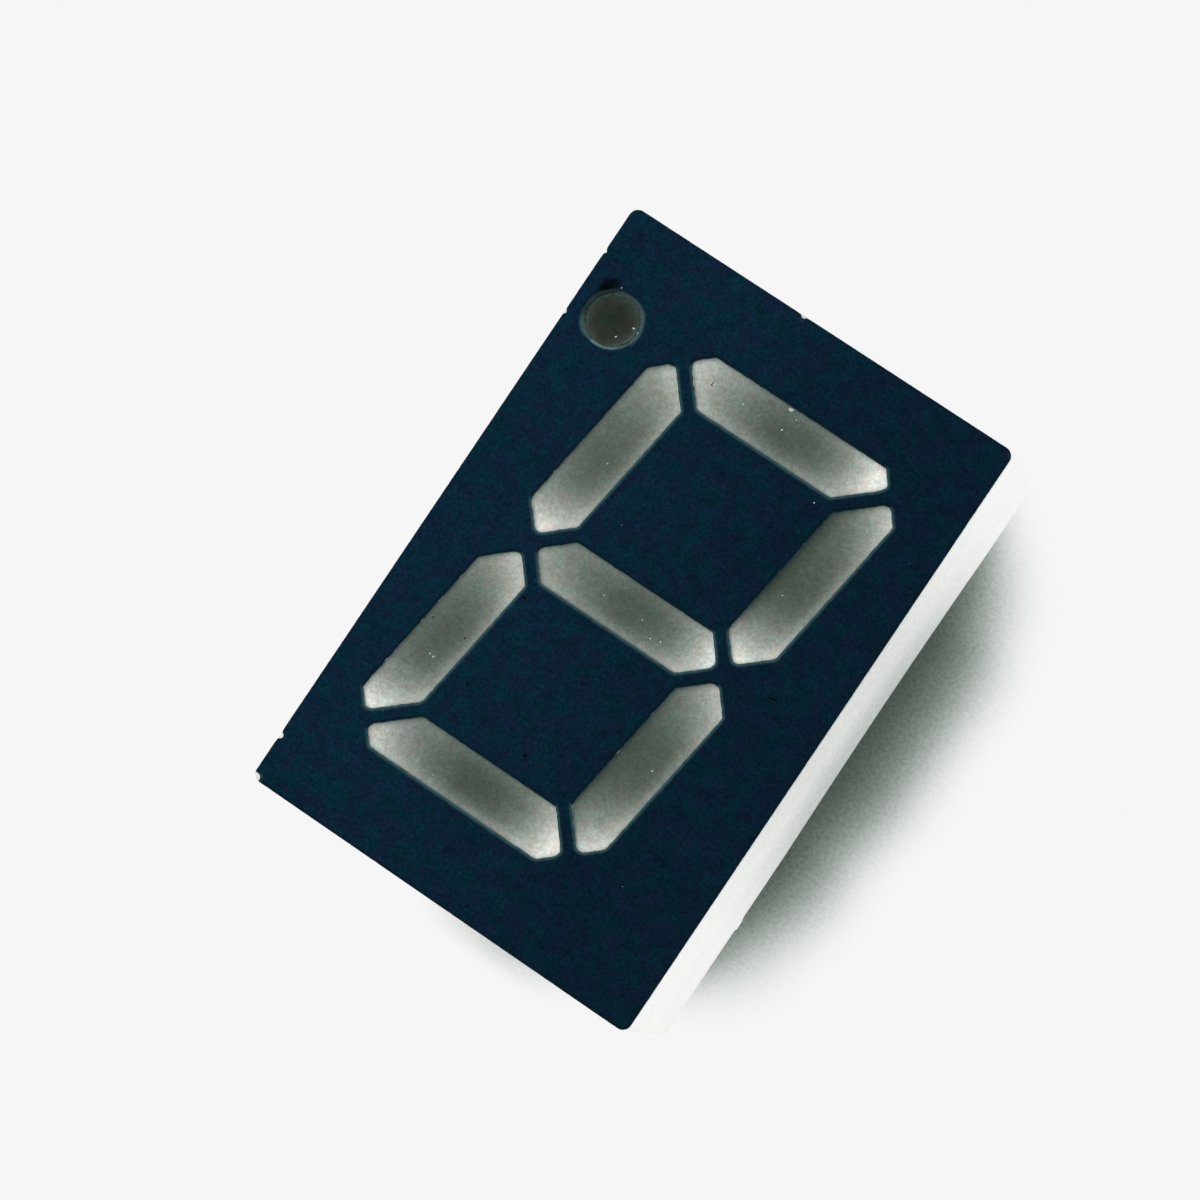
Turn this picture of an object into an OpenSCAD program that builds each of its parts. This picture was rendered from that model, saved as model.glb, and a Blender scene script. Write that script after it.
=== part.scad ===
// Single-digit seven segment display, 14.2 mm figure, ten pins in two rows.
// Frame: +Z is the way the face looks, +Y is the top of the figure, and the
// origin is the centre of the rim that the body stands on. The pins go below.

/* [Body] */
// Width of the moulded body
body_w = 12.6; // [12.4:0.1:16]
// Height of the moulded body, along the figure
body_h = 19; // [18.4:0.1:24]
// Depth of the body, from its rear rim to its printed face
body_d = 8; // [6:0.1:10]
// Radius of the body's four upright edges
edge_r = 0.28; // [0.1:0.02:0.5]
// Thickness of the body's side walls
wall_t = 0.5; // [0.4:0.05:0.55]
// Depth of the recess behind the reflector, which holds the board
recess_d = 2.2; // [1.8:0.1:3]
// Thickness of the ink on the face
ink_t = 0.04; // [0.02:0.01:0.08]

/* [Figure] */
// Height of the figure
figure_h = 14.21; // [13:0.1:14.5]
// Width of the figure before it is slanted
figure_w = 8.15; // [7.4:0.05:8.6]
// Slant of the figure, in degrees
slant = 8; // [0:1:10]
// How far right of the body's centre the figure sits
figure_x = 0.23; // [-0.3:0.01:0.3]
// How far above the body's centre the figure sits
figure_y = -0.13; // [-0.3:0.01:0.3]
// Stroke of the level segments
stroke_level = 1.52; // [1.2:0.02:1.8]
// Stroke of the upright segments
stroke_upright = 1.555; // [1.2:0.005:1.8]
// Gap between neighbouring segments
segment_gap = 0.43; // [0.3:0.01:0.6]
// How much of the figure's outer corners is cut off, along each side
corner_cut = 1.285; // [0.8:0.005:1.6]
// Rounding of the segments' corners
segment_r = 0.2; // [0.06:0.02:0.24]

/* [Decimal point] */
// How far right of the body's centre the point is
point_x = 5.05; // [4.9:0.01:5.1]
// How far below the body's centre the point is
point_y = 6.52; // [6.3:0.01:6.6]
// Diameter of the point's opening in the face
point_d = 1.74; // [1.6:0.02:1.8]
// Diameter of the point's resin
point_resin_d = 1.5; // [1.3:0.02:1.56]
// Diameter of the point's funnel at the board
point_base_d = 1.0; // [0.8:0.02:1.04]
// Depth of the bevel round the point
point_bevel = 0.12; // [0.06:0.01:0.2]

/* [Reflector] */
// Depth of the straight lip at each segment's mouth
lip_d = 0.3; // [0.15:0.05:0.6]
// How far the resin's surface is below the printed face
resin_sink = 0.07; // [0.02:0.01:0.12]
// Length of a funnel at the board, as a share of its segment
base_length = 0.45; // [0.36:0.01:0.6]
// Width of a funnel at the board, as a share of its stroke
base_width = 0.6; // [0.5:0.01:0.8]
// Thickness of the moulding left round each hollow behind the face
rib_t = 0.7; // [0.5:0.05:1]
// Thickness of the moulding over each hollow
face_t = 1; // [0.6:0.1:1.5]

/* [Pins] */
// Distance between neighbouring pins
pin_pitch = 2.54; // [2:0.01:2.54]
// Distance between the two rows
row_gap = 15.24; // [15:0.01:15.5]
// Diameter of a pin
pin_d = 0.5; // [0.4:0.01:0.56]
// Length of a pin below the body
pin_l = 6; // [3:0.1:8]
// Length of the taper at a pin's tip
pin_taper = 0.25; // [0.1:0.05:0.5]
// Diameter at a pin's very tip
pin_tip_d = 0.25; // [0.1:0.05:0.3]
// Side of the square shank that the board holds
shank_w = 0.4; // [0.3:0.01:0.5]

/* [Board] */
// Thickness of the board
board_t = 1; // [0.6:0.1:1.2]
// Gap between the board's edge and the body's walls
board_gap = 0.1; // [0.05:0.01:0.2]
// Thickness of the copper
copper_t = 0.04; // [0.02:0.01:0.06]
// Width of a copper track
track_w = 0.25; // [0.15:0.01:0.3]
// Gap between a shank's corners and its plated hole
hole_gap = 0.03; // [0.01:0.01:0.06]
// Width of the copper ring round each hole
land_ring = 0.17; // [0.1:0.01:0.2]
// Width of the solder beyond each hole
solder_ring = 0.14; // [0.08:0.01:0.16]
// Height of the solder under the board
solder_h = 0.4; // [0.2:0.05:0.6]

/* [Light sources] */
// Side of a diode chip
chip_w = 0.26; // [0.2:0.01:0.3]
// Height of a diode chip
chip_h = 0.22; // [0.15:0.01:0.3]
// Width of the copper round a chip
die_margin = 0.08; // [0.04:0.01:0.1]
// Diameter of a bond pad
bond_pad_d = 0.26; // [0.2:0.01:0.3]
// Diameter of the ball that joins a wire to its chip
ball_d = 0.1; // [0.06:0.01:0.12]
// Height of that ball
ball_h = 0.03; // [0.02:0.01:0.05]
// Diameter of a bond wire
wire_d = 0.04; // [0.025:0.005:0.05]
// Distance from chip to bond pad in a segment
bond_span = 0.8; // [0.6:0.05:0.9]
// Distance from chip to bond pad in the decimal point
point_bond_span = 0.42; // [0.38:0.01:0.44]

/* [Potting] */
// How far the potting's surface is inside the rear rim
potting_sink = 0.15; // [0.1:0.01:0.3]
// How far inside the rear rim the potting meets the walls
potting_edge = 0.04; // [0.02:0.01:0.08]
// Width of the slope where the potting climbs the walls
meniscus_w = 0.5; // [0.2:0.05:0.7]

/* [Hidden] */
$fn = 48;
cut = 1; // how far a cutting shape runs past what it cuts
corner_steps = 5;
half_w = figure_w / 2;
half_h = figure_h / 2;
inner_x = half_w - stroke_upright;
inner_y = half_h - stroke_level;
column_x = half_w - stroke_upright / 2;
mitre = segment_gap / sqrt(2);
face_z = body_d - ink_t;
lip_z = face_z - lip_d;
resin_z = face_z - resin_sink;
board_top = recess_d - copper_t;
board_low = board_top - board_t;
cavity_w = body_w - 2 * wall_t;
cavity_h = body_h - 2 * wall_t;
board_w = cavity_w - 2 * board_gap;
board_h = cavity_h - 2 * board_gap;
cavity_r = edge_r;
pins_per_row = 5;
pin_count = 2 * pins_per_row;
shank_across = shank_w * sqrt(2);
hole_d = shank_across + 2 * hole_gap;
land_d = hole_d + 2 * land_ring;
solder_d = hole_d + 2 * solder_ring;
die_pad_w = chip_w + 2 * die_margin;

// Places where the ink is chipped off: [x, y, radius]
ink_chips = [
    [body_w / 2 - 0.08, body_h / 2 - 0.04, 0.15],
    [body_w / 2 - 0.02, body_h / 2 - 1.4, 0.09],
    [body_w / 2, 3.5 - body_h / 2, 0.06],
    [body_w / 2, 1.5 - body_h / 2, 0.06],
    [0.64, -body_h / 2, 0.08]
];

// Segments run clockwise from the top, with g across the middle
SEGMENTS = ["a", "b", "c", "d", "e", "f", "g"];
LIGHTS = concat(SEGMENTS, ["point"]);

// ---- Figure ----

// From the upright figure to its slanted place on the face
function placed(p) = [p.x + p.y * tan(slant) + figure_x, p.y + figure_y];

function unit(v) = v / norm(v);

// The arc that rounds corner p between its neighbours
function corner_arc(before, p, after, r) =
    let (
        u = unit(before - p),
        v = unit(after - p),
        half = acos(u * v) / 2,
        centre = p + unit(u + v) * r / sin(half),
        start = p + u * r / tan(half) - centre,
        stop = p + v * r / tan(half) - centre,
        sweep = 180 - 2 * half,
        turn = cross(start, stop) > 0 ? 1 : -1
    )
    [for (i = [0:corner_steps])
        let (a = turn * sweep * i / corner_steps)
        centre + [start.x * cos(a) - start.y * sin(a), start.x * sin(a) + start.y * cos(a)]];

function rounded(points, r) =
    let (n = len(points))
    [for (i = [0:n - 1]) each corner_arc(points[(i + n - 1) % n], points[i], points[(i + 1) % n], r)];

// Corners of the top segment, and of the upper right one, in the upright figure
level_corners = let (
        cut_line = half_w + half_h - corner_cut,
        mitre_line = inner_y - inner_x + mitre,
        tip = [(cut_line - mitre_line) / 2, (cut_line + mitre_line) / 2],
        foot = inner_y - mitre_line,
        top = cut_line - half_h
    )
    [[-top, half_h], [-tip.x, tip.y], [-foot, inner_y], [foot, inner_y], tip, [top, half_h]];

upright_corners = let (
        cut_line = half_w + half_h - corner_cut,
        mitre_line = inner_y - inner_x - mitre,
        tip = [(cut_line - mitre_line) / 2, (cut_line + mitre_line) / 2],
        shoulder = mitre + stroke_upright / 2
    )
    [tip, [inner_x, inner_x + mitre_line], [inner_x, shoulder], [column_x, mitre], [half_w, shoulder],
        [half_w, cut_line - half_w]];

middle_corners = let (
        tip = column_x - mitre,
        shoulder = tip - stroke_level / 2,
        half = stroke_level / 2
    )
    [[-shoulder, half], [-tip, 0], [-shoulder, -half], [shoulder, -half], [tip, 0], [shoulder, half]];

function reversed(list) = [for (i = [len(list) - 1:-1:0]) list[i]];
function flip_x(points) = reversed([for (p = points) [-p.x, p.y]]);
function flip_y(points) = reversed([for (p = points) [p.x, -p.y]]);

function corners(s) =
    s == "a" ? level_corners :
    s == "b" ? upright_corners :
    s == "c" ? flip_y(upright_corners) :
    s == "d" ? flip_y(level_corners) :
    s == "e" ? flip_x(flip_y(upright_corners)) :
    s == "f" ? flip_x(upright_corners) :
    middle_corners;

function is_level(s) = s == "a" || s == "d" || s == "g";

// Middle of a segment in the upright figure, where its chip is
function middle(s) =
    let (ys = [for (p = corners(s)) p.y], xs = [for (p = corners(s)) p.x])
    [(min(xs) + max(xs)) / 2, (min(ys) + max(ys)) / 2];

function mouth(s) = [for (p = rounded(corners(s), segment_r)) placed(p)];

// The funnel's outline at the board
function base(s) =
    let (m = middle(s), share = is_level(s) ? [base_length, base_width] : [base_width, base_length])
    [for (p = rounded(corners(s), segment_r))
        let (d = p - m)
        placed(m + [d.x * share.x, d.y * share.y])];

// ---- Places on the board ----

point_at = [point_x, -point_y];

// Way from a segment's chip to its bond pad
function bond_way(s) =
    s == "a" ? [1, 0] :
    s == "d" || s == "g" ? [-1, 0] :
    s == "b" || s == "f" ? unit([tan(slant), 1]) :
    s == "point" ? unit([-1, -0.4]) :
    unit([-tan(slant), -1]);

function span(s) = s == "point" ? point_bond_span : bond_span;

// A segment's chip is in the middle, and the point's is moved over to leave room for its wire
function chip_at(s) = s == "point" ? point_at - bond_way(s) * point_bond_span / 2 : placed(middle(s));
function bond_at(s) = chip_at(s) + bond_way(s) * span(s);

// Pins 1 to 5 run left to right under the figure, and 6 to 10 run back above it
function pin_at(n) =
    let (i = (n - 1) % pins_per_row - (pins_per_row - 1) / 2)
    n <= pins_per_row ? [i * pin_pitch, -row_gap / 2] : [-i * pin_pitch, row_gap / 2];

// ---- Shared shapes ----

module rounded_square(w, h, r) {
    square([w - 2 * r, h], center = true);
    square([w, h - 2 * r], center = true);
    for (x = [-1, 1], y = [-1, 1])
        translate([x * (w / 2 - r), y * (h / 2 - r)])
            circle(r);
}

module block(w, h, r, z0, z1) {
    translate([0, 0, z0])
        linear_extrude(z1 - z0)
            rounded_square(w, h, r);
}

// A solid from one outline up to another with as many points, both anticlockwise
module loft(low, z0, high, z1) {
    n = len(low);
    polyhedron(
        points = concat([for (p = low) [p.x, p.y, z0]], [for (p = high) [p.x, p.y, z1]]),
        faces = concat(
            [[for (i = [0:n - 1]) i]],
            [[for (i = [n - 1:-1:0]) n + i]],
            [for (i = [0:n - 1]) [i, n + i, (i + 1) % n]],
            [for (i = [0:n - 1]) [n + i, n + (i + 1) % n, (i + 1) % n]]
        )
    );
}

module funnel(s, top) {
    loft(base(s), recess_d, mouth(s), lip_z);
    translate([0, 0, lip_z])
        linear_extrude(top - lip_z)
            polygon(mouth(s));
}

// The point's funnel, filled up to the given height
module point_funnel(top, top_d) {
    bevel_z = face_z - point_bevel;
    translate(point_at)
        rotate_extrude()
            polygon([
                [0, recess_d],
                [point_base_d / 2, recess_d],
                [point_resin_d / 2, bevel_z],
                [top_d / 2, top],
                [0, top]
            ]);
}

module shank(n, z0, z1) {
    p = pin_at(n);
    translate([p.x - shank_w / 2, p.y - shank_w / 2, z0])
        cube([shank_w, shank_w, z1 - z0]);
}

module chip_shape(s) {
    p = chip_at(s);
    translate([p.x, p.y, recess_d + chip_h / 2])
        rotate(atan2(bond_way(s).y, bond_way(s).x))
            cube([chip_w, chip_w, chip_h], center = true);
}

// Half a turn of wire up from the chip and over, then straight down to the board
module wire_shape(s) {
    p = chip_at(s);
    translate([p.x, p.y, recess_d])
        rotate(atan2(bond_way(s).y, bond_way(s).x)) {
            translate([0, 0, chip_h])
                cylinder(d = ball_d, h = ball_h);
            translate([span(s) / 2, 0, chip_h + ball_h])
                rotate([90, 0, 0])
                    rotate_extrude(angle = 180)
                        translate([span(s) / 2, 0])
                            circle(d = wire_d, $fn = 16);
            translate([span(s), 0, 0])
                cylinder(d = wire_d, h = chip_h + ball_h, $fn = 16);
        }
}

// The solder fills the plated hole round and over the shank, and stands out under the board
module solder_shape(n) {
    p = pin_at(n);
    translate([p.x, p.y, 0])
        rotate_extrude()
            polygon([
                [0, board_low - solder_h],
                [shank_across / 2 + hole_gap / 2, board_low - solder_h],
                [solder_d / 2, board_low],
                [hole_d / 2, board_low],
                [hole_d / 2, recess_d],
                [0, recess_d]
            ]);
}

// ---- Sub-parts ----

// Hollows that the moulding has behind its face, in the upright figure
module hollows() {
    x = inner_x - rib_t;
    y0 = stroke_level / 2 + rib_t;
    y1 = inner_y - rib_t;
    for (side = [-1, 1])
        polygon([for (p = [[-x, side * y0], [x, side * y0], [x, side * y1], [-x, side * y1]]) placed(p)]);
    left = -cavity_w / 2;
    outer = -half_w - rib_t;
    polygon([
        [left, inner_y],
        [left, -stroke_level],
        placed([outer, -stroke_level]),
        placed([outer, inner_y])
    ]);
}

module housing() {
    color("white")
        difference() {
            block(body_w, body_h, edge_r, 0, face_z);
            block(cavity_w, cavity_h, cavity_r, -cut, recess_d);
            for (s = SEGMENTS)
                funnel(s, face_z + cut);
            point_funnel(face_z, point_d);
            translate([0, 0, recess_d - cut])
                linear_extrude(face_z - face_t - recess_d + cut)
                    hollows();
        }
}

module face_ink() {
    color([0.04, 0.13, 0.18])
        difference() {
            block(body_w, body_h, edge_r, face_z, body_d);
            for (s = SEGMENTS)
                translate([0, 0, face_z - cut])
                    linear_extrude(ink_t + 2 * cut)
                        polygon(mouth(s));
            translate([point_at.x, point_at.y, face_z - cut])
                cylinder(d = point_d, h = ink_t + 2 * cut);
            for (c = ink_chips)
                translate([c.x, c.y, face_z - cut])
                    cylinder(r = c[2], h = ink_t + 2 * cut);
        }
}

module segment(s) {
    color([0.62, 0.66, 0.62])
        difference() {
            funnel(s, resin_z);
            chip_shape(s);
            wire_shape(s);
        }
}

module decimal_point() {
    color([0.2, 0.22, 0.18])
        difference() {
            point_funnel(face_z - point_bevel, point_resin_d);
            chip_shape("point");
            wire_shape("point");
        }
}

module circuit_board() {
    color([0.55, 0.6, 0.35])
        difference() {
            block(board_w, board_h, cavity_r, board_low, board_top);
            for (n = [1:pin_count])
                translate([pin_at(n).x, pin_at(n).y, board_low - cut])
                    cylinder(d = hole_d, h = board_t + 2 * cut);
        }
}

module track(points) {
    for (i = [0:len(points) - 1])
        translate(points[i])
            circle(d = track_w, $fn = 24);
    for (i = [1:len(points) - 1]) {
        way = points[i] - points[i - 1];
        translate(points[i - 1])
            rotate(atan2(way.y, way.x))
                translate([0, -track_w / 2])
                    square([norm(way), track_w]);
    }
}

// One common net joins the chips to pins 3 and 8, and each bond pad has a pin of its own
module copper_tracks() {
    edge_x = pin_at(1).x;
    point_bend = [chip_at("point").x - 2 * track_w, chip_at("c").y];
    nets = [
        [pin_at(8), chip_at("a"), chip_at("g"), chip_at("d"), pin_at(3)],
        [chip_at("f"), chip_at("b")],
        [chip_at("e"), chip_at("c"), point_bend, chip_at("point")],
        [pin_at(7), bond_at("a")],
        [pin_at(6), bond_at("b")],
        [pin_at(4), bond_at("c")],
        [pin_at(2), bond_at("d")],
        [pin_at(1), [edge_x, bond_at("e").y], bond_at("e")],
        [pin_at(9), bond_at("f")],
        [pin_at(10), [edge_x, bond_at("g").y], bond_at("g")],
        [pin_at(5), bond_at("point")]
    ];
    color([0.85, 0.6, 0.3])
        translate([0, 0, board_top])
            linear_extrude(copper_t)
                difference() {
                    union() {
                        for (net = nets)
                            track(net);
                        for (s = LIGHTS) {
                            translate(chip_at(s))
                                rotate(atan2(bond_way(s).y, bond_way(s).x))
                                    square(die_pad_w, center = true);
                            translate(bond_at(s))
                                circle(d = bond_pad_d, $fn = 24);
                        }
                        for (n = [1:pin_count])
                            translate(pin_at(n))
                                circle(d = land_d);
                    }
                    for (n = [1:pin_count])
                        translate(pin_at(n))
                            circle(d = hole_d);
                }
}

module chip(s) {
    color([0.75, 0.7, 0.45])
        chip_shape(s);
}

module wire(s) {
    color("gold")
        wire_shape(s);
}

// A round pin below the body, with a square shank that ends in the board
module pin(n) {
    p = pin_at(n);
    color("silver") {
        translate([p.x, p.y, pin_taper - pin_l])
            cylinder(d = pin_d, h = pin_l - pin_taper);
        translate([p.x, p.y, -pin_l])
            cylinder(d1 = pin_tip_d, d2 = pin_d, h = pin_taper);
        shank(n, 0, board_top);
    }
}

module solder(n) {
    color([0.72, 0.73, 0.75])
        difference() {
            solder_shape(n);
            shank(n, board_low - solder_h - cut, board_top);
        }
}

// A rectangle's corners, anticlockwise
function rectangle(w, h) = [[w, h] / 2, [-w, h] / 2, [-w, -h] / 2, [w, -h] / 2];

// Fills the rear recess round the board, the shanks and the solder, with a surface that climbs the walls
module back_potting() {
    color([0.8, 0.82, 0.78])
        difference() {
            block(cavity_w, cavity_h, cavity_r, 0, recess_d);
            loft(
                rectangle(cavity_w + 2 * meniscus_w, cavity_h + 2 * meniscus_w),
                2 * potting_edge - potting_sink,
                rectangle(cavity_w - 2 * meniscus_w, cavity_h - 2 * meniscus_w),
                potting_sink
            );
            block(board_w, board_h, cavity_r, board_low, recess_d + cut);
            for (n = [1:pin_count]) {
                solder_shape(n);
                shank(n, -cut, board_low);
            }
        }
}

housing();
face_ink();
circuit_board();
copper_tracks();
back_potting();
decimal_point();
for (s = SEGMENTS) segment(s);
for (s = LIGHTS) chip(s);
for (s = LIGHTS) wire(s);
for (n = [1:pin_count]) pin(n);
for (n = [1:pin_count]) solder(n);
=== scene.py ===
"""Looks of a single-digit seven segment display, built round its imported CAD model.

The pieces are modelled in millimetres, in the CAD model's frame, and written to Blender in metres.
"""

import math

import bmesh
import bpy
from mathutils import Matrix, Vector, noise


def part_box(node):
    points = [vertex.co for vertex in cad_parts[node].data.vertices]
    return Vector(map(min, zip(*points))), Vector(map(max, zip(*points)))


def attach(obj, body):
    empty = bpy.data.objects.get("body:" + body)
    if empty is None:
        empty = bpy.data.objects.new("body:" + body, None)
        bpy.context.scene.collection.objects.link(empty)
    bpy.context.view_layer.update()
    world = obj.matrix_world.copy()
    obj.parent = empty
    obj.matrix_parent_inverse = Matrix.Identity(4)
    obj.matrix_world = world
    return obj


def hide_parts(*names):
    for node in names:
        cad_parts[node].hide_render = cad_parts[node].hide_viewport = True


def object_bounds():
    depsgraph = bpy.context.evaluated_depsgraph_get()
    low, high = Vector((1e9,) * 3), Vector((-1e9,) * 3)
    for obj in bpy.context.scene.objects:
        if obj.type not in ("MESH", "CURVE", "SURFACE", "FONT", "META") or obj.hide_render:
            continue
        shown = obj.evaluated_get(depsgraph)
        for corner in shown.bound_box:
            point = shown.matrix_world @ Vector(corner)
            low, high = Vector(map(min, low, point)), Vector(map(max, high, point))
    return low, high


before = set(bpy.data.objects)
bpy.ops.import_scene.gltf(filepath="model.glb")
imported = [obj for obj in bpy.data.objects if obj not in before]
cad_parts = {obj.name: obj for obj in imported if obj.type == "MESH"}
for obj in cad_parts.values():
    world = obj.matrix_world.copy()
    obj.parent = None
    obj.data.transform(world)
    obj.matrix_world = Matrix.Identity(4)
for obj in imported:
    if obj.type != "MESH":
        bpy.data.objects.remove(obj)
cad_low, cad_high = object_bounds()
noise.seed_set(1)  # so that wander() gives the same shape each run

# ---- Sizes, in millimetres ----

MM = 0.001
MERGE = 0.0005  # points closer than this are one point
SHARP = math.radians(32)  # edges that turn more than this stay crisp
SLANT = math.tan(math.radians(8))

INK_EDGE_STEP = 0.06  # length of the facets along an edge of the ink
INK_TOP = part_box("face_ink")[1].z / MM - 0.006  # the ink's skin, which leaves room for the grains on it
INK_OVERHANG = 0.012  # how far the ink reaches over a window's lip
INK_PULLED = 0.022  # how much less it reaches on the side that the print is pulled from
PULLED_WAY = Vector((0.766, 0.643, 0))  # from the ink into a window, on that side
PULL_FOCUS = 4  # how closely the pull keeps to that side
PULL_OPPOSITE = 0.5  # share of the pull on the side across from it
INK_RAGGED = 0.014  # how far a window's edge wanders
INK_WORN = 0.008  # how far the outer edge wanders
COARSE_RAG, FINE_RAG = 0.16, 0.07  # sizes of the waves that these edges wander in
OUTER_MARGIN = 0.3  # ink this close to the outside is part of the outer edge
CORNER_KEPT = 0.6  # length beside each corner that isn't worn
CHIP_WEAR = 8  # rounds of wear on the chips along the outer edge
INK_ROUNDING = ((0.008, 0.014), (0.022, 0.010), (0.040, 0.005), (0.060, 0.001))  # inward and upward steps

RESIN_SQUARE = 0.05  # facets of the resin's surface
RESIN_CLIMB = 0.045  # how far the resin climbs its wall
RESIN_FALL = 0.055  # distance over which that climb dies away
RESIN_DISH = 0.02  # how far the middle has shrunk
RESIN_RIPPLE = 0.002  # height of the ripples on it
RIPPLE_SIZE = 0.5
POINT_CLIMB = 0.03  # the same climb for the decimal point
POINT_DISH = 0.03
LIP_SHADOW = 0.68  # painted shadow that a window's lip casts on the resin, from its sides
LIP_SHADOW_LESS = 0.55  # how much less of that painted shadow falls on the side that the print is pulled from
LIP_SHADOW_REACH = 0.05  # distance over which that painted shadow dies away

WALL_STRIPS = 24  # facets along a long wall, which let it bow
WALL_LEVELS = 10  # facets from the rim to the face
WALL_SKIN = 0.12  # a wall's faces have their middle this close to the outside
WALL_BOW = {  # sink of each wall at the rim: how much, round which place and how far to each side
    "left": (0.05, -2.3, 5.2),
    "right": (0.03, 0, 9.5),
    "lower": (0.04, 0, 6.3),
    "upper": (0.04, 0, 6.3),
}
BOW_FADE = 1.5  # how late that sink fades towards the face
RIM_BEVEL = 0.04  # softening of the rim's edges
FLASH = (0.2, 0.66, 0.5)  # a thin scrap of plastic that hangs from the rim
FLASH_AT = (-6.195, 5.52, -0.12)  # its middle
FLASH_TAPER = 0.45  # share of its length that is left at the lower end
FLASH_LEAN = 0.1  # share of its length by which that end leans
FLASH_BEVEL = 0.03

RING_FACETS = 96  # facets round the point's bevel
RING_UNEVEN = 0.006  # how far the ink on the bevel wanders
RING_WAVE = 0.1  # size of the waves that it wanders in

SKIN_BELOW = 0.5  # the skin of the potting is the highest level under this
SKIN_RINGS = 5  # rings of facets round each shank, on which the epoxy's skin climbs
SKIN_RING = 0.045  # width of each ring
SKIN_SQUARE = 0.5  # facets of the rest of the skin
SKIN_CLIMB = 0.1  # how far the skin climbs a shank
SKIN_FALL = 0.09  # distance over which that climb dies away
SKIN_WAVE = 0.018  # height of the waves on the skin
SKIN_WAVE_SIZE = 2.1
SKIN_CALM = 0.5  # width of the calm strip along the walls
SKIN_RISE = 0.6  # distance over which the waves start beside it

HALF_SHANK = 0.2  # half the width of a pin's square shank
PIN_FACETS = 28
PIN_RING = 0.5  # length of the facets along a pin
PIN_TIP = ((0, 0), (0.06, 0.004), (0.11, 0.025), (0.15, 0.07), (0.2, 0.16), (0.235, 0.26))  # radius, height
TIP_LENGTH = 0.4
PIN_SHOULDER = ((0, -0.05), (0.015, -0.015), (0.05, 0))  # inward step and height, up to the shank
SHANK_START = 0.01  # height at which the shank leaves the shoulder
PIN_UNEVEN = 0.006  # how far the tin's surface wanders
PIN_SMOOTH = 0.1  # radius of the smooth middle of a tip
TIN_WAVE = (0.25, 0.25, 0.625)  # size of the waves in the tin

# ---- Colours, as display values from 0 to 255 ----


def paint(red, green, blue):
    """A colour for a shader, from its display values."""
    shares = [c / 255 for c in (red, green, blue)]
    return tuple(s / 12.92 if s <= 0.04045 else ((s + 0.055) / 1.055) ** 2.4 for s in shares) + (1,)


# ---- Nodes ----


def add(tree, kind, inputs=None, **settings):
    """A node with its settings. An input that is a socket is linked, and any other is a value."""
    made = tree.nodes.new("ShaderNode" + kind)
    for name, value in settings.items():
        setattr(made, name, value)
    for name, value in (inputs or {}).items():
        if isinstance(value, bpy.types.NodeSocket):
            tree.links.new(value, made.inputs[name])
        else:
            made.inputs[name].default_value = value
    return made


def calc(tree, operation, *values):
    """The result of a Math node."""
    return add(tree, "Math", dict(enumerate(values)), operation=operation).outputs[0]


def product(tree, first, *others):
    """All the values multiplied together."""
    for other in others:
        first = calc(tree, "MULTIPLY", first, other)
    return first


def split(tree, vector):
    """The X, Y and Z of a vector."""
    return add(tree, "SeparateXYZ", {0: vector}).outputs


def length(tree, vector):
    """The length of a vector."""
    return add(tree, "VectorMath", {0: vector}, operation="LENGTH").outputs["Value"]


def smooth(tree, value, start, stop, low=0.0, high=1.0):
    """Goes smoothly from low to high as a value goes from start to stop."""
    inputs = {"Value": value, "From Min": start, "From Max": stop, "To Min": low, "To Max": high}
    return add(tree, "MapRange", inputs, interpolation_type="SMOOTHSTEP").outputs[0]


def around(tree, value, middle, reach, core, most=1.0):
    """Most within a core round a middle value, and nothing further from it than a reach."""
    away = calc(tree, "ABSOLUTE", calc(tree, "SUBTRACT", value, middle))
    return smooth(tree, away, reach, core, 0.0, most)


def uneven(tree, height, least, most):
    """A roughness that goes from least to most with a mottle's height."""
    return smooth(tree, height, 0.2, 0.8, least, most)


def mixed(tree, share, first, second, blend="MIX"):
    """Two colours mixed, where share is how much there is of the second."""
    inputs = {0: share, 6: first, 7: second}
    return add(tree, "Mix", inputs, data_type="RGBA", blend_type=blend).outputs[2]


def ramp(tree, value, *stops):
    """A colour ramp through (position, colour) stops."""
    made = add(tree, "ValToRGB", {"Fac": value})
    points = made.color_ramp.elements
    points[0].position, points[0].color = stops[0]
    points[-1].position, points[-1].color = stops[-1]
    for position, colour in stops[1:-1]:
        points.new(position).color = colour
    return made.outputs["Color"]


def place(tree, centre=(0, 0, 0), stretch=(1, 1, 1), turn=0.0):
    """Object coordinates in millimetres from a centre, turned about Z and stretched."""
    source = add(tree, "TexCoord").outputs["Object"]
    moved = {"Vector": source, "Location": [-c for c in centre], "Scale": (1 / MM,) * 3}
    moved = add(tree, "Mapping", moved).outputs[0]
    turned = {"Vector": moved, "Rotation": (0, 0, turn), "Scale": [1 / s for s in stretch]}
    return add(tree, "Mapping", turned).outputs[0]


def node_group(name, inputs, outputs):
    """An empty group with a vector and then values as its inputs, and the ends to build it between."""
    group = bpy.data.node_groups.new(name, "ShaderNodeTree")
    sockets = group.interface
    sockets.new_socket(name="Vector", in_out="INPUT", socket_type="NodeSocketVector")
    for label, value in inputs.items():
        made = sockets.new_socket(name=label, in_out="INPUT", socket_type="NodeSocketFloat")
        made.default_value = value
    for label in outputs:
        sockets.new_socket(name=label, in_out="OUTPUT", socket_type="NodeSocketFloat")
    start = group.nodes.new("NodeGroupInput").outputs
    end = group.nodes.new("NodeGroupOutput").inputs
    return group, start, end


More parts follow.
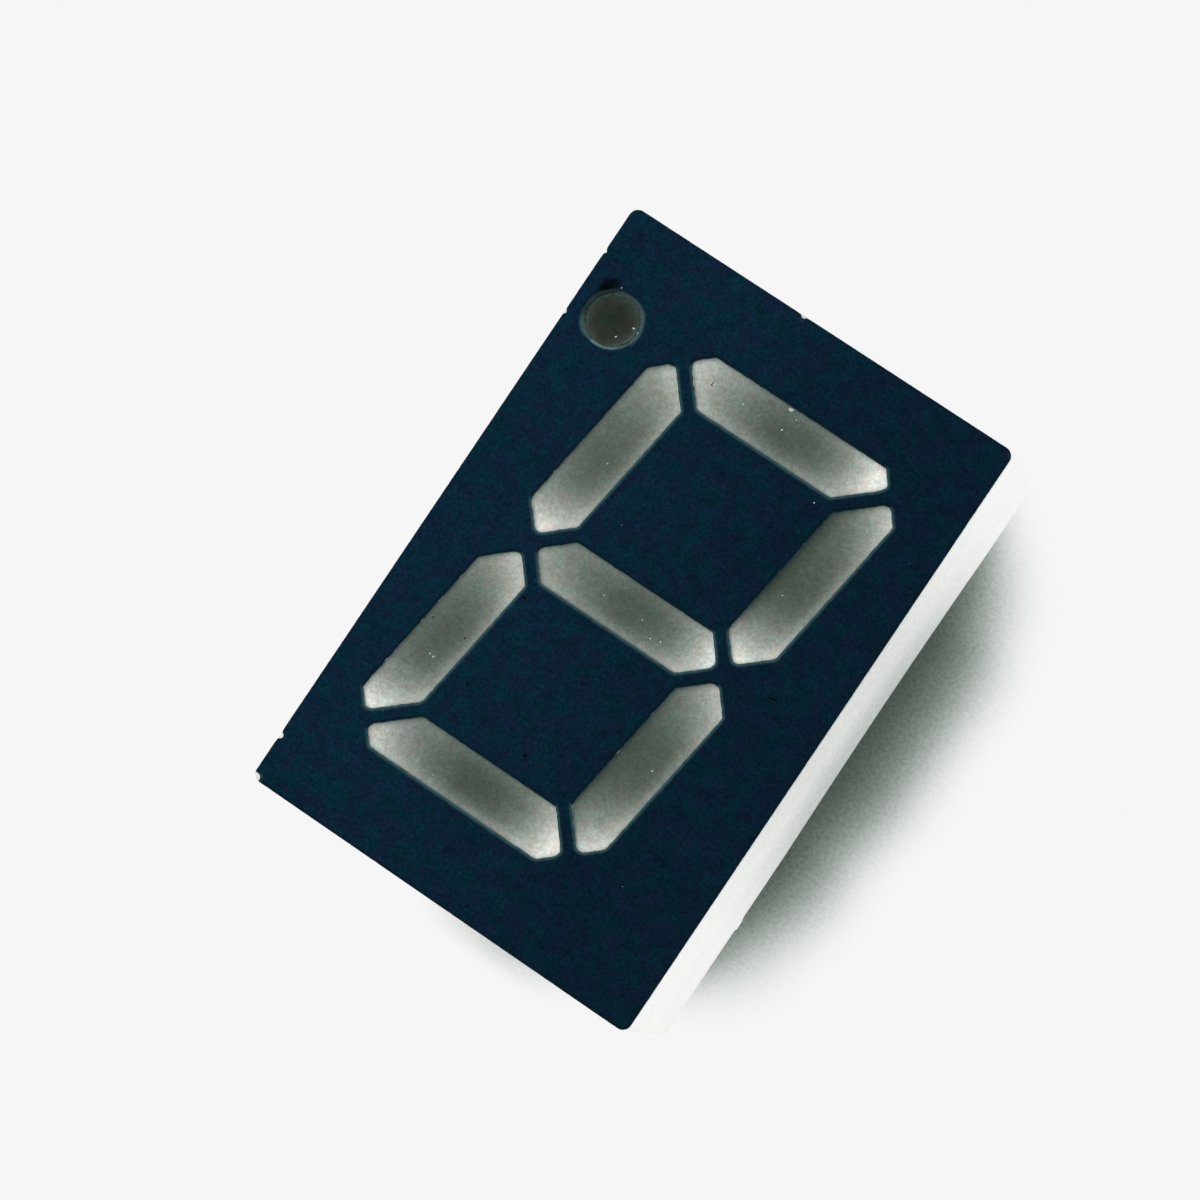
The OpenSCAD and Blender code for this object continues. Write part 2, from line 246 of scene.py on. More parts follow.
def mottle_group():
    """Cloudy variation: a shade to multiply a colour by, and a height for a bump."""
    group, start, end = node_group("mottle", {"Size": 1.0, "Depth": 0.1}, ("Shade", "Height"))
    scale = calc(group, "DIVIDE", 1.0, start["Size"])
    inputs = {"Vector": start["Vector"], "Scale": scale, "Detail": 4.0, "Roughness": 0.62}
    cloud = add(group, "TexNoise", inputs).outputs["Fac"]
    swing = product(group, calc(group, "SUBTRACT", cloud, 0.5), start["Depth"])
    group.links.new(calc(group, "MULTIPLY_ADD", swing, 4.0, 1.0), end["Shade"])
    group.links.new(cloud, end["Height"])
    return group


def speck_group():
    """Scattered grains: one grain in each cell of a pattern, and only in a share of the cells."""
    group, start, end = node_group("specks", {"Size": 1.0, "Share": 0.1, "Radius": 0.2}, ("Mask",))
    scale = calc(group, "DIVIDE", 1.0, start["Size"])
    cells = add(group, "TexVoronoi", {"Vector": start["Vector"], "Scale": scale}).outputs
    lot = add(group, "SeparateColor", {0: cells["Color"]}).outputs[0]
    chosen = calc(group, "LESS_THAN", lot, start["Share"])
    inner = product(group, start["Radius"], 0.5)
    near = smooth(group, cells["Distance"], start["Radius"], inner)
    group.links.new(product(group, near, chosen), end["Mask"])
    return group


EDGE_POWER = 2.9  # how late the light rises towards a window's edge


def reflector_group():
    """The light that a funnel gives its window: low in the middle, rising towards both ends, where it may
    lean to one side, and a little higher along the edges."""
    levels = {"Middle": 0.3, "Low Edge": 0.1, "High Edge": 0.3}
    for name in ("First", "Last"):
        levels |= {name + " End": 0.8, name + " Power": 2.0, name + " Tilt": 0.0}
    group, start, end = node_group("reflector", levels, ("Level",))
    parts = split(group, start["Vector"])
    along = calc(group, "MULTIPLY_ADD", parts["X"], 2.0, -1.0)
    across = calc(group, "MULTIPLY_ADD", parts["Y"], 2.0, -1.0)

    def rise(share, power):
        return calc(group, "POWER", calc(group, "MAXIMUM", share, 0.0), power)

    level = start["Middle"]
    for share, edge in ((product(group, across, -1.0), "Low Edge"), (across, "High Edge")):
        level = calc(group, "MULTIPLY_ADD", rise(share, EDGE_POWER), start[edge], level)
    for share, name in ((product(group, along, -1.0), "First"), (along, "Last")):
        tip = calc(group, "MULTIPLY_ADD", across, start[name + " Tilt"], start[name + " End"])
        weight = rise(share, start[name + " Power"])
        level = calc(group, "MULTIPLY_ADD", weight, calc(group, "SUBTRACT", tip, level), level)
    group.links.new(level, end["Level"])
    return group


MOTTLE = mottle_group()
SPECKS = speck_group()
REFLECTOR = reflector_group()


def use(tree, group, vector, **values):
    """A group placed in a material, with its own values."""
    made = tree.nodes.new("ShaderNodeGroup")
    made.node_tree = group
    tree.links.new(vector, made.inputs["Vector"])
    for name, value in values.items():
        made.inputs[name.replace("_", " ").title()].default_value = value
    return made.outputs


def finish(name, surface, **constants):
    """A material whose surface function links what changes, with its constants set on the shader."""
    material = bpy.data.materials.new(name)
    material.use_nodes = True
    tree = material.node_tree
    shader = tree.nodes["Principled BSDF"]
    for label, value in constants.items():
        shader.inputs[label.replace("_", " ")].default_value = value
    for label, socket in surface(tree).items():
        tree.links.new(socket, shader.inputs[label])
    return material


def shaded(tree, colour, *shades):
    """A colour multiplied by each of the shades."""
    for shade in shades:
        colour = add(tree, "VectorMath", {0: colour, "Scale": shade}, operation="SCALE").outputs[0]
    return colour


def tinged(tree, colour, tint, centre, size, start, stop):
    """A colour multiplied by a tint in cloudy patches."""
    patch = use(tree, MOTTLE, place(tree, centre=centre), size=size, depth=0.0)["Height"]
    return mixed(tree, smooth(tree, patch, start, stop), colour, (*tint, 1), "MULTIPLY")


def bumped(tree, height, depth, strength=1.0):
    """A normal that follows a height of up to depth, in millimetres."""
    return add(tree, "Bump", {"Height": height, "Distance": depth * MM, "Strength": strength}).outputs[0]


# ---- Finishes ----


def round_point(tree):
    """Where a place lies from the decimal point's middle: in millimetres, its distance and its direction."""
    low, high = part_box("decimal_point")
    middle = (low + high) / 2 / MM
    at = place(tree, centre=(middle.x, middle.y, 0))
    flat = add(tree, "VectorMath", {0: at, 1: (1, 1, 0)}, operation="MULTIPLY").outputs[0]
    way = add(tree, "VectorMath", {0: flat}, operation="NORMALIZE").outputs[0]
    return at, length(tree, flat), split(tree, way)


def facing(tree, way, degrees):
    """How much a flat direction faces an angle, from -1 to 1."""
    turn = math.radians(degrees)
    sideways = product(tree, way["X"], math.cos(turn))
    return calc(tree, "MULTIPLY_ADD", way["Y"], math.sin(turn), sideways)


OVAL_TURN = 65  # the ring of stain is drawn in between this angle and 90 degrees more, and across from there


def oval(tree, way):
    """How far the ring of stain round the point is drawn in at a direction, from -0.5 to 0.5."""
    return product(tree, facing(tree, way, OVAL_TURN), facing(tree, way, OVAL_TURN + 90))


SOOT_UNEVEN = 0.3  # how unevenly the soot reaches out
# Soot on the ink beside the decimal point: [x, y, reach, share]
SOOT = ([5.72, -7.12, 0.22, 1.0], [5.70, -7.28, 0.26, 0.85], [5.55, -7.42, 0.22, 0.7])


def ink_edges(tree, parts):
    """Where an edge of the ink gets painted highlight, where painted shade, and where it has rounded down to
    its foot.
    """
    way = split(tree, add(tree, "Attribute", attribute_name="way").outputs["Vector"])
    # how far an edge faces +X and -Y, towards the light: it sets where its shoulder gets painted highlight
    # and painted shade
    facing_light = product(tree, calc(tree, "SUBTRACT", way["X"], way["Y"]), 0.71)
    rounded = smooth(tree, parts["Z"], INK_TOP - 0.0001, INK_TOP - 0.0019)
    lowest = smooth(tree, parts["Z"], INK_TOP - 0.004, INK_TOP - 0.024)
    _, reach, side = round_point(tree)
    bare = calc(tree, "MAXIMUM", smooth(tree, oval(tree, side), -0.35, 0.1), smooth(tree, reach, 0.88, 0.96))
    bare = product(tree, smooth(tree, reach, 1.2, 1.1), bare)
    inside = product(tree, smooth(tree, parts["Y"], -9.4, -9.3), smooth(tree, parts["X"], 6.16, 6.08))
    window = calc(tree, "MAXIMUM", calc(tree, "SUBTRACT", inside, bare), 0.0)
    run = use(tree, MOTTLE, place(tree, centre=(1, 6, 0)), size=0.2, depth=0.35)["Shade"]
    # Masks of painted light: a painted highlight on shoulders that face the light, and painted shade on
    # those that face away
    painted_light_and_shade = product(tree, rounded, run, smooth(tree, facing_light, -0.75, 0.2), window)
    thickness_and_painted_shade = product(tree, rounded, smooth(tree, facing_light, -0.3, -0.95, 0, 0.75))
    return add(tree, "Clamp", {0: painted_light_and_shade}).outputs[0], thickness_and_painted_shade, lowest


def printed_ink(tree):
    """Matt navy ink with a fine cloudy grain. Its rounded edges carry a painted highlight on two sides of
    each window, those that face +X and -Y, and painted shade on the other two."""
    at = place(tree)
    grain = use(tree, MOTTLE, at, size=0.1, depth=0.6)
    blotch = use(tree, MOTTLE, place(tree, centre=(2, 9, 0)), size=0.42, depth=0.28)
    cloud = use(tree, MOTTLE, at, size=2.6, depth=0.08)
    hue = use(tree, MOTTLE, place(tree, centre=(5, 2, 0)), size=0.62, depth=0.0)["Height"]
    pale = use(tree, SPECKS, at, size=0.7, share=0.1, radius=0.06)["Mask"]
    dark = use(tree, SPECKS, place(tree, centre=(3, 1, 0)), size=0.8, share=0.12, radius=0.07)["Mask"]
    parts = split(tree, at)
    base = mixed(tree, smooth(tree, hue, 0.36, 0.64), paint(10, 27, 46), paint(3, 33, 45))
    # the ink is darker towards -X and brighter towards +X
    brighter_towards_plus_x = smooth(tree, parts["X"], -4.0, 4.4, 0.87, 1.2)
    base = shaded(tree, base, grain["Shade"], blotch["Shade"], cloud["Shade"], brighter_towards_plus_x)
    base = mixed(tree, product(tree, pale, 0.4), base, paint(50, 84, 88))
    base = mixed(tree, product(tree, dark, 0.8), base, paint(1, 8, 14))
    painted_light_and_shade, thickness_and_painted_shade, lowest = ink_edges(tree, parts)
    # Colours of the painted highlight and the painted shade on the edges, paler towards their foot
    highlit_edge = mixed(tree, lowest, paint(44, 72, 77), paint(72, 99, 100))
    shaded_edge = mixed(tree, lowest, paint(4, 22, 30), paint(34, 55, 58))
    base = mixed(tree, painted_light_and_shade, base, highlit_edge)
    base = mixed(tree, thickness_and_painted_shade, base, shaded_edge)
    for x, y, reach, share in SOOT:
        away = length(tree, place(tree, centre=(x, y, INK_TOP)))
        swing = calc(tree, "SUBTRACT", blotch["Height"], 0.5)
        away = calc(tree, "MULTIPLY_ADD", swing, SOOT_UNEVEN, away)
        base = mixed(tree, smooth(tree, away, reach, 0.3 * reach, 0, share), base, paint(0, 5, 11))
    roughness = uneven(tree, grain["Height"], 0.5, 0.72)
    return {"Base Color": base, "Roughness": roughness, "Normal": bumped(tree, grain["Height"], 0.004, 0.5)}


def moulded_plastic(tree):
    """White moulded plastic: faint flow marks, fine grain, a few grains of dirt and light scuffs. The walls
    carry painted shade, greyer at mid-length and towards the rim, and are grainier there."""
    at = place(tree)
    grain = use(tree, MOTTLE, place(tree, stretch=(1, 1, 1.5)), size=0.12, depth=0.26)
    flow = use(tree, MOTTLE, place(tree, stretch=(1, 3.5, 1)), size=1.7, depth=0.03)
    dirt = use(tree, SPECKS, at, size=0.9, share=0.14, radius=0.05)["Mask"]
    slanted = place(tree, stretch=(1, 16, 0.6), turn=0.2)
    scuff = use(tree, SPECKS, slanted, size=0.5, share=0.08, radius=0.09)["Mask"]
    parts = split(tree, at)
    # Painted shade on the walls: greyer towards the middle of their length and towards the rim
    across = around(tree, parts["X"], 0.0, 5.6, 1.0)
    along = around(tree, parts["Y"], -1.0, 7.9, 1.4)
    rim = smooth(tree, parts["Z"], 5.2, 0.8, 0.55, 1.0)
    painted_light_and_shade = product(tree, calc(tree, "MAXIMUM", across, along), rim)
    base = mixed(tree, painted_light_and_shade, paint(243, 244, 242), paint(188, 194, 189))
    grainy = calc(tree, "MULTIPLY_ADD", painted_light_and_shade, 0.8, 0.2)
    coarse = calc(tree, "MULTIPLY_ADD", calc(tree, "SUBTRACT", grain["Shade"], 1.0), grainy, 1.0)
    base = shaded(tree, base, coarse, flow["Shade"])
    base = mixed(tree, product(tree, dirt, 0.4), base, paint(120, 118, 108))
    base = mixed(tree, product(tree, scuff, 0.18), base, paint(196, 198, 192))
    roughness = smooth(tree, flow["Height"], 0.25, 0.75, 0.38, 0.52)
    rough = calc(tree, "MULTIPLY_ADD", scuff, 0.15, roughness)
    return {"Base Color": base, "Roughness": rough, "Normal": bumped(tree, grain["Height"], 0.006, 0.5)}


RESIN_TONES = ((50, 37, 50, 42), (80, 68, 80, 71), (110, 99, 110, 102), (150, 142, 150, 142),
               (190, 184, 190, 183), (220, 216, 220, 213), (240, 238, 240, 234))


def resin_tone(tree, level):
    """The resin's colour at a display level from 0 to 1: greenish where dark, and neutral where bright."""
    return ramp(tree, level, *[(at / 255, paint(*colour)) for at, *colour in RESIN_TONES])


def segment_resin(levels):
    """Satin resin over a lit funnel: grainy and blotchy, with dust in it and a painted shadow of the lip at
    its edges.
    """
    def surface(tree):
        at = place(tree)
        spread = add(tree, "UVMap", uv_map="reflector").outputs[0]
        level = use(tree, REFLECTOR, spread, **levels)["Level"]
        fine = use(tree, MOTTLE, at, size=0.05, depth=0.25)
        grain = use(tree, MOTTLE, at, size=0.12, depth=0.2)
        cloud = use(tree, MOTTLE, at, size=0.7, depth=0.05)
        tinted = resin_tone(tree, product(tree, level, cloud["Shade"]))
        tinted = shaded(tree, tinted, grain["Shade"], fine["Shade"])
        pale = use(tree, SPECKS, at, size=0.42, share=0.16, radius=0.085)["Mask"]
        tinted = mixed(tree, product(tree, pale, 0.3), tinted, paint(200, 206, 198))
        tinted = tinged(tree, tinted, (1.0, 0.9, 0.88), (7, 3, 0), 0.3, 0.42, 0.66)
        tinted = tinged(tree, tinted, (0.9, 1.0, 0.97), (2, 8, 0), 0.24, 0.45, 0.66)
        # painted shadow of the ink lip on the resin near the window's edges
        painted_lip_shadow = add(tree, "Attribute", attribute_name="painted_lip_shadow").outputs["Fac"]
        tinted = mixed(tree, painted_lip_shadow, tinted, paint(13, 50, 57))
        return {"Base Color": tinted, "Roughness": uneven(tree, grain["Height"], 0.34, 0.5),
                "Normal": bumped(tree, grain["Height"], 0.004, 0.4)}
    return surface


def point_window(tree):
    """Dark blotchy resin over the point's deep funnel, with painted light from the funnel that grows paler
    towards its edge.
    """
    at, reach, _ = round_point(tree)
    cloud = use(tree, MOTTLE, at, size=0.3, depth=0.2)
    grain = use(tree, MOTTLE, at, size=0.07, depth=0.2)
    # painted light from the funnel, by distance from the middle
    base = ramp(tree, reach, (0.1, paint(26, 38, 30)), (0.45, paint(36, 45, 38)), (0.66, paint(47, 58, 51)),
                (0.76, paint(56, 74, 71)))
    base = shaded(tree, base, cloud["Shade"], grain["Shade"])
    base = tinged(tree, base, (1.0, 0.72, 0.72), (2, 5, 0), 0.4, 0.46, 0.62)
    base = tinged(tree, base, (0.72, 0.98, 0.85), (6, 1, 0), 0.4, 0.46, 0.62)
    return {"Base Color": base, "Roughness": uneven(tree, grain["Height"], 0.22, 0.4),
            "Normal": bumped(tree, cloud["Height"], 0.006, 0.4)}


def stained_bevel(tree):
    """The bevel round the point, where ink has run thin: an uneven pale ring, with a painted highlight
    towards the top and painted shade on the right.
    """
    at, reach, way = round_point(tree)
    run = use(tree, MOTTLE, at, size=0.16, depth=0.3)
    spots = use(tree, MOTTLE, place(tree, centre=(4, 4, 0)), size=0.08, depth=0.32)
    waver = calc(tree, "MULTIPLY_ADD", run["Height"], 0.12, -0.06)
    ringed = calc(tree, "ADD", reach, calc(tree, "ADD", waver, product(tree, oval(tree, way), 0.09)))
    line = ramp(tree, ringed, (0.74, paint(56, 74, 71)), (0.80, paint(70, 91, 90)),
                (0.84, paint(60, 84, 86)), (0.87, paint(34, 58, 64)), (0.90, paint(9, 35, 46)))
    # painted highlight on the ring towards the top, and painted shade on its right side
    painted_highlight = smooth(tree, facing(tree, way, 105), 0.8, 0.97)
    line = mixed(tree, painted_highlight, line, (2.4, 2.2, 2.2, 1), "MULTIPLY")
    painted_shade = smooth(tree, facing(tree, way, -22), 0.45, 0.9, 0, 0.9)
    base = mixed(tree, painted_shade, line, paint(16, 36, 38))
    return {"Base Color": shaded(tree, base, run["Shade"], spots["Shade"]),
            "Roughness": uneven(tree, run["Height"], 0.35, 0.6),
            "Normal": bumped(tree, run["Height"], 0.01, 0.5)}


def cast_epoxy(tree):
    """Milky epoxy that closes the back: cloudy and finely grainy, with small bubbles."""
    at = place(tree)
    cloud = use(tree, MOTTLE, at, size=2.2, depth=0.1)
    grain = use(tree, MOTTLE, at, size=0.25, depth=0.05)
    bubble = use(tree, SPECKS, at, size=0.9, share=0.3, radius=0.13)["Mask"]
    base = mixed(tree, smooth(tree, cloud["Height"], 0.3, 0.7), paint(196, 200, 186), paint(214, 216, 204))
    base = shaded(tree, base, cloud["Shade"], grain["Shade"])
    base = mixed(tree, product(tree, bubble, 0.35), base, paint(150, 156, 140))
    height = calc(tree, "SUBTRACT", cloud["Height"], product(tree, bubble, 0.4))
    return {"Base Color": base, "Roughness": uneven(tree, grain["Height"], 0.16, 0.34),
            "Normal": bumped(tree, height, 0.05, 0.5)}


def tinned_wire(tree):
    """Bright tin over a drawn pin: lengthwise streaks and duller patches."""
    streak = use(tree, MOTTLE, place(tree, stretch=(1, 1, 14)), size=0.12, depth=0.1)
    dull = use(tree, MOTTLE, place(tree, stretch=(1, 1, 2)), size=0.9, depth=0.12)
    base = mixed(tree, smooth(tree, dull["Height"], 0.42, 0.66), paint(226, 224, 218), paint(188, 186, 180))
    base = shaded(tree, base, streak["Shade"])
    rough = calc(tree, "ADD", uneven(tree, streak["Height"], 0.14, 0.3),
                 smooth(tree, dull["Height"], 0.45, 0.7, 0, 0.16))
    return {"Base Color": base, "Roughness": rough, "Normal": bumped(tree, streak["Height"], 0.01, 0.5)}


def laminate(tree):
    """Glass and epoxy board with its weave."""
    at = place(tree)
    yarn = {"Vector": at, "Scale": 2.2, "Distortion": 0.6, "Detail": 1.0}
    weave = product(tree, *(add(tree, "TexWave", yarn, bands_direction=way).outputs["Fac"] for way in "XY"))
    cloud = use(tree, MOTTLE, at, size=1.5, depth=0.08)
    base = mixed(tree, weave, paint(150, 148, 88), paint(186, 180, 112))
    return {"Base Color": shaded(tree, base, cloud["Shade"]),
            "Roughness": smooth(tree, weave, 0, 1, 0.34, 0.5), "Normal": bumped(tree, weave, 0.01, 0.5)}


def worked_metal(colour, tarnish, size, smoothest, roughest):
    """Metal of one colour with patches of its tarnish."""
    def surface(tree):
        cloud = use(tree, MOTTLE, place(tree), size=size, depth=0.12)
        patch = smooth(tree, cloud["Height"], 0.45, 0.7)
        base = mixed(tree, patch, paint(*colour), paint(*tarnish))
        return {"Base Color": shaded(tree, base, cloud["Shade"]),
                "Roughness": smooth(tree, cloud["Height"], 0.2, 0.8, smoothest, roughest),
                "Normal": bumped(tree, cloud["Height"], 0.006, 0.5)}
    return surface


def diode_crystal(tree):
    """A sawn crystal, pale yellow streaked with grey saw marks."""
    saw = use(tree, MOTTLE, place(tree, stretch=(6, 6, 1)), size=0.05, depth=0.15)
    base = mixed(tree, smooth(tree, saw["Height"], 0.4, 0.6), paint(205, 196, 120), paint(160, 156, 110))
    return {"Base Color": shaded(tree, base, saw["Shade"]),
            "Roughness": uneven(tree, saw["Height"], 0.2, 0.45)}


def grit(colour, other):
    """A grain of dust or soot, uneven in colour."""
    def surface(tree):
        cloud = use(tree, MOTTLE, place(tree), size=0.05, depth=0.2)
        base = mixed(tree, smooth(tree, cloud["Height"], 0.35, 0.65), paint(*colour), paint(*other))
        return {"Base Color": base, "Roughness": uneven(tree, cloud["Height"], 0.45, 0.8)}
    return surface


# ---- Meshes ----


def cad_copy(node):
    """A CAD node's mesh in millimetres, with its loose triangles joined."""
    bm = bmesh.new()
    bm.from_mesh(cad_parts[node].data)
    bmesh.ops.scale(bm, vec=(1 / MM,) * 3, verts=bm.verts)
    bmesh.ops.remove_doubles(bm, verts=bm.verts, dist=MERGE)
    return bm


def level_faces(bm, z):
    """The faces that lie level at a height."""
    return [f for f in bm.faces if all(abs(v.co.z - z) < MERGE for v in f.verts)]


def corners_of(faces):
    """The vertices of some faces, each of them once."""
    return list({v: None for f in faces for v in f.verts})


def outline_edges(faces):
    """The edges round a set of faces, holes included."""
    inside = set(faces)
    edges = {e: None for f in faces for e in f.edges}
    return [e for e in edges if sum(f in inside for f in e.link_faces) == 1]


def divide_edges(bm, edges, length):
    """Cuts each edge into equal parts that are no longer than a length."""
    groups = {}
    for e in edges:
        groups.setdefault(math.ceil(e.calc_length() / length) - 1, []).append(e)
    for cuts, group in groups.items():
        if cuts > 0:
            bmesh.ops.subdivide_edges(bm, edges=group, cuts=cuts)


def cut_across(bm, find, axis, start, stop, step):
    """Cuts the faces that find() gives by evenly spaced planes across an axis, no more than a step apart."""
    normal = Vector(axis)
    strips = math.ceil((stop - start) / step)
    for i in range(1, strips):
        faces = find()
        geometry = list({g: None for f in faces for g in (*f.verts, *f.edges)}) + faces
        at = normal * (start + i * (stop - start) / strips)
        bmesh.ops.bisect_plane(bm, geom=geometry, dist=MERGE / 10, plane_co=at, plane_no=normal)


def soften(bm, edges, radius, segments):
    """Rounds edges off."""
    bmesh.ops.bevel(bm, geom=edges, offset=radius, offset_type="OFFSET", segments=segments, profile=0.5,
                    affect="EDGES", clamp_overlap=True, material=-1)


def placed_object(name, data):
    """A new object in the scene, at the origin."""
    made = bpy.data.objects.new(name, data)
    bpy.context.scene.collection.objects.link(made)
    return made


def finished_mesh(bm, name, material):
    """A mesh made from a bmesh, which isn't used again."""
    mesh = bpy.data.meshes.new(name)
    bm.to_mesh(mesh)
    bm.free()
    mesh.materials.append(material)
    return mesh


def write_piece(bm, name, material, nodes=()):
    """Writes a mesh in metres as a piece that rides on the body and stands for the given CAD nodes."""
    bmesh.ops.scale(bm, vec=(MM,) * 3, verts=bm.verts)
    mesh = finished_mesh(bm, name, material)
    mesh.shade_smooth()
    mesh.set_sharp_from_angle(angle=SHARP)
    piece = placed_object(name, mesh)
    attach(piece, "root")
    if nodes:
        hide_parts(*nodes)
    return piece


def wander(point, size, reach):
    """A small sideways move that changes smoothly from place to place."""
    push = noise.noise_vector(point / size) + 0.5 * noise.noise_vector(point / size * 2.7)
    return Vector((push.x, push.y, 0)) * reach


# ---- Pieces ----


def ink_outlines(high):
    """The CAD ink's outlines, finely divided, with the way out of the ink kept at each point."""
    bm = cad_copy("face_ink")
    top = set(level_faces(bm, high.z))
    rim = outline_edges(top)
    way = bm.verts.layers.float_vector.new("way")
    for edge in rim:
        loop = next(l for l in edge.link_loops if l.face in top)
        along = (loop.link_loop_next.vert.co - loop.vert.co).normalized()
        for v in edge.verts:
            v[way] += Vector((along.y, -along.x, 0))
    kept = set(rim)
    bmesh.ops.delete(bm, geom=bm.faces[:], context="FACES_ONLY")
    bmesh.ops.delete(bm, geom=[e for e in bm.edges if e not in kept], context="EDGES")
    bmesh.ops.delete(bm, geom=[v for v in bm.verts if not v.link_edges], context="VERTS")
    divide_edges(bm, bm.edges[:], INK_EDGE_STEP)
    wear_chips(bm, way, high)
    return bm, way


def wear_chips(bm, way, high):
    """Wear has made the chips along the outer edge wider and shallower. The corners stay as they are."""
    worn = []
    for v in bm.verts:
        gaps = (high.x - abs(v.co.x), high.y - abs(v.co.y))
        if min(gaps) < OUTER_MARGIN and max(gaps) > CORNER_KEPT:
            worn.append(v)
    for _ in range(CHIP_WEAR):
        means = []
        for v in worn:
            first, second = (e.other_vert(v) for e in v.link_edges)
            middle = (v.co * 2 + first.co + second.co) / 4
            means.append((v, middle, v[way] * 2 + first[way] + second[way]))
        for v, middle, outward in means:
            v.co = middle
            v[way] = outward.normalized()


def make_face_ink():
    """The ink coat: the CAD outline with ragged windows and a worn outer edge, rounded off all round."""
    low, high = (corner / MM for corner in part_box("face_ink"))
    bm, way = ink_outlines(high)
    for v in bm.verts:
        v[way] = v[way].normalized()
        margin = min(high.x - abs(v.co.x), high.y - abs(v.co.y))
        rough = noise.noise(v.co / COARSE_RAG) + 0.5 * noise.noise(v.co / FINE_RAG)
        facing_pull = v[way].dot(PULLED_WAY)
        pulled = INK_PULLED * facing_pull ** PULL_FOCUS * (1 if facing_pull > 0 else PULL_OPPOSITE)
        over_window = INK_OVERHANG - pulled + rough * INK_RAGGED
        v.co += v[way] * (over_window if margin > OUTER_MARGIN else -abs(rough) * INK_WORN)
        v.co.z = low.z
    edges = bm.edges[:]
    bmesh.ops.triangle_fill(bm, use_beauty=True, use_dissolve=False, edges=edges)
    wall = INK_TOP - low.z - sum(up for _, up in INK_ROUNDING)
    for inward, up in ((0, wall), *INK_ROUNDING):
        made = bmesh.ops.extrude_edge_only(bm, edges=edges)["geom"]
        corners = {g: None for g in made if isinstance(g, bmesh.types.BMVert)}
        for v in corners:
            v.co += Vector((0, 0, up)) - v[way] * inward
        edges = [g for g in made if isinstance(g, bmesh.types.BMEdge) and all(v in corners for v in g.verts)]
    bmesh.ops.triangle_fill(bm, use_beauty=True, use_dissolve=False, edges=edges)
    bmesh.ops.recalc_face_normals(bm, faces=bm.faces[:])
    material = finish("printed_ink", printed_ink, Specular_IOR_Level=0.02)
    write_piece(bm, "ink_coat", material, ["face_ink"])


def is_outer_wall(face, corner):
    """Whether a face is part of the four outer walls."""
    middle = face.calc_center_median()
    upright = abs(face.normal.z) < 0.1
    return upright and (abs(middle.x) > corner.x - WALL_SKIN or abs(middle.y) > corner.y - WALL_SKIN)


def wall_sink(wall, along):
    """How far a wall has sunk at the rim, at a place along it."""
    amount, middle, reach = WALL_BOW[wall]
    return amount * (1 - min(1, abs(along - middle) / reach) ** 2)


def add_flash(bm):
    """The scrap of plastic at the rim: its lower end is shorter and leans to one side."""
    scrap = bmesh.ops.create_cube(bm, size=1, matrix=Matrix.LocRotScale(FLASH_AT, None, FLASH))["verts"]
    for v in scrap:
        if v.co.z < FLASH_AT[2]:
            v.co.y += (FLASH_AT[1] - v.co.y) * (1 - FLASH_TAPER) + FLASH[1] * FLASH_LEAN
    soften(bm, list({e: None for v in scrap for e in v.link_edges}), FLASH_BEVEL, 2)


def make_body():
    """The moulded body: walls that have sunk towards the rim, a softened rim and a scrap of flash."""
    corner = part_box("housing")[1] / MM
    bm = cad_copy("housing")
    bm.normal_update()

    def walls():
        return [f for f in bm.faces if is_outer_wall(f, corner)]

    cut_across(bm, walls, (0, 1, 0), -corner.y, corner.y, 2 * corner.y / WALL_STRIPS)
    cut_across(bm, walls, (1, 0, 0), -corner.x, corner.x, 2 * corner.x / (WALL_STRIPS * 2 / 3))
    cut_across(bm, walls, (0, 0, 1), 0, corner.z, corner.z / WALL_LEVELS)
    bm.normal_update()
    for v in corners_of(walls()):
        if corner.z - v.co.z < MERGE:
            continue
        fade = (1 - v.co.z / corner.z) ** BOW_FADE
        if abs(v.co.x) > corner.x - MERGE:
            sink = wall_sink("left" if v.co.x < 0 else "right", v.co.y)
            v.co.x -= math.copysign(sink * fade, v.co.x)
        if abs(v.co.y) > corner.y - MERGE:
            sink = wall_sink("lower" if v.co.y < 0 else "upper", v.co.x)
            v.co.y -= math.copysign(sink * fade, v.co.y)
    soften(bm, [e for e in outline_edges(level_faces(bm, 0)) if e.calc_length() > MERGE], RIM_BEVEL, 3)
    add_flash(bm)
    material = finish("moulded_plastic", moulded_plastic, Specular_IOR_Level=0.3)
    write_piece(bm, "body_shell", material, ["housing"])


def window_sides(top):
    """The straight sides round a window: for each, a point on it and the way into the window."""
    corners = corners_of(top)
    middle = sum((v.co for v in corners), Vector()) / len(corners)
    sides = []
    for e in outline_edges(top):
        start, stop = (v.co.copy() for v in e.verts)
        inward = Vector((start.y - stop.y, stop.x - start.x, 0)).normalized()
        if (middle - start).dot(inward) < 0:
            inward = -inward
        sides.append((start, inward))
    return sides


def distance_to_outline(point, sides):
    """Distance from a point inside a convex outline to its nearest side."""
    return min((point - start).dot(inward) for start, inward in sides)


def painted_lip_shadow_at(point, sides):
    """How much painted lip shadow falls at a point: it comes from the sides and dies away quickly."""
    painted_lip_shadow = 0
    for start, inward in sides:
        share = LIP_SHADOW - LIP_SHADOW_LESS * max(0, inward.dot(PULLED_WAY)) ** PULL_FOCUS
        painted_lip_shadow = max(painted_lip_shadow, share * math.exp(-max(0, (point - start).dot(inward)) / LIP_SHADOW_REACH))
    return painted_lip_shadow


